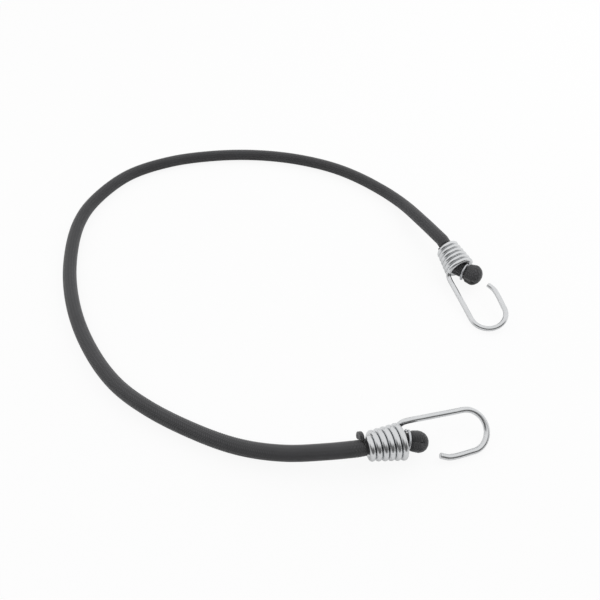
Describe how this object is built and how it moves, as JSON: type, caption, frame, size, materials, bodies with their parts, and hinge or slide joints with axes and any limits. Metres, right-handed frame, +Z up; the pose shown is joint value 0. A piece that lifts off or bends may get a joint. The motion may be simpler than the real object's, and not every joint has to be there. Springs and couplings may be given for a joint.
{
  "type": "bungee cord",
  "caption": "Elastic cord of rubber strands in a black braided jacket, with a coiled steel wire hook at each end, stretched over a load and hooked on to hold it down.",
  "frame": {"origin": "centre of the box round the two hooks and their clips, on the surface that the cord lies on", "axes": "+Z up; +Y from the near hook towards the far hook; +X the way that the near hook points, to the right in the picture; the loop of the cord lies on the -X side"},
  "size_m": [0.2924, 0.2692, 0.0189],
  "materials": {
    "braid": "tight braid of matte black synthetic yarn",
    "rubber": "matte natural latex",
    "hook_steel": "bright zinc-plated round wire",
    "clip_steel": "plain steel wire"
  },
  "bodies": {
    "cord": {"cord_jacket": "braid", "rubber_strand_0_1": "rubber", "rubber_strand_1_1": "rubber", "rubber_strand_1_2": "rubber", "rubber_strand_1_3": "rubber", "rubber_strand_1_4": "rubber", "rubber_strand_1_5": "rubber", "rubber_strand_1_6": "rubber", "rubber_strand_2_1": "rubber", "rubber_strand_2_2": "rubber", "rubber_strand_2_3": "rubber", "rubber_strand_2_4": "rubber", "rubber_strand_2_5": "rubber", "rubber_strand_2_6": "rubber", "rubber_strand_2_7": "rubber", "rubber_strand_2_8": "rubber", "rubber_strand_2_9": "rubber", "rubber_strand_2_10": "rubber", "rubber_strand_2_11": "rubber", "rubber_strand_2_12": "rubber", "far_clip": "clip_steel"},
    "near_end": {"near_clip": "clip_steel"},
    "near_hook": {"near_hook": "hook_steel"},
    "far_hook": {"far_hook": "hook_steel"}
  },
  "joints": [
    {"name": "cord_stretch", "type": "slide", "parent": "cord", "child": "near_end", "axis": [0, -1, 0], "range_m": [0, 0.32], "stiffness_N_per_m": 230, "deforming": ["cord_jacket", "rubber_strand_0_1", "rubber_strand_1_1", "rubber_strand_1_2", "rubber_strand_1_3", "rubber_strand_1_4", "rubber_strand_1_5", "rubber_strand_1_6", "rubber_strand_2_1", "rubber_strand_2_2", "rubber_strand_2_3", "rubber_strand_2_4", "rubber_strand_2_5", "rubber_strand_2_6", "rubber_strand_2_7", "rubber_strand_2_8", "rubber_strand_2_9", "rubber_strand_2_10", "rubber_strand_2_11", "rubber_strand_2_12"]},
    {"name": "near_hook_swivel", "type": "hinge", "parent": "near_end", "child": "near_hook", "pos_m": [-0.02645, -0.0645, 0.00923], "axis": [0.9768, 0.197, -0.0845], "range_deg": [-180, 180]},
    {"name": "far_hook_swivel", "type": "hinge", "parent": "cord", "child": "far_hook", "pos_m": [0.02516, 0.0537, 0.00878], "axis": [0.323, -0.9379, -0.1263], "range_deg": [-110, 110]}
  ]
}
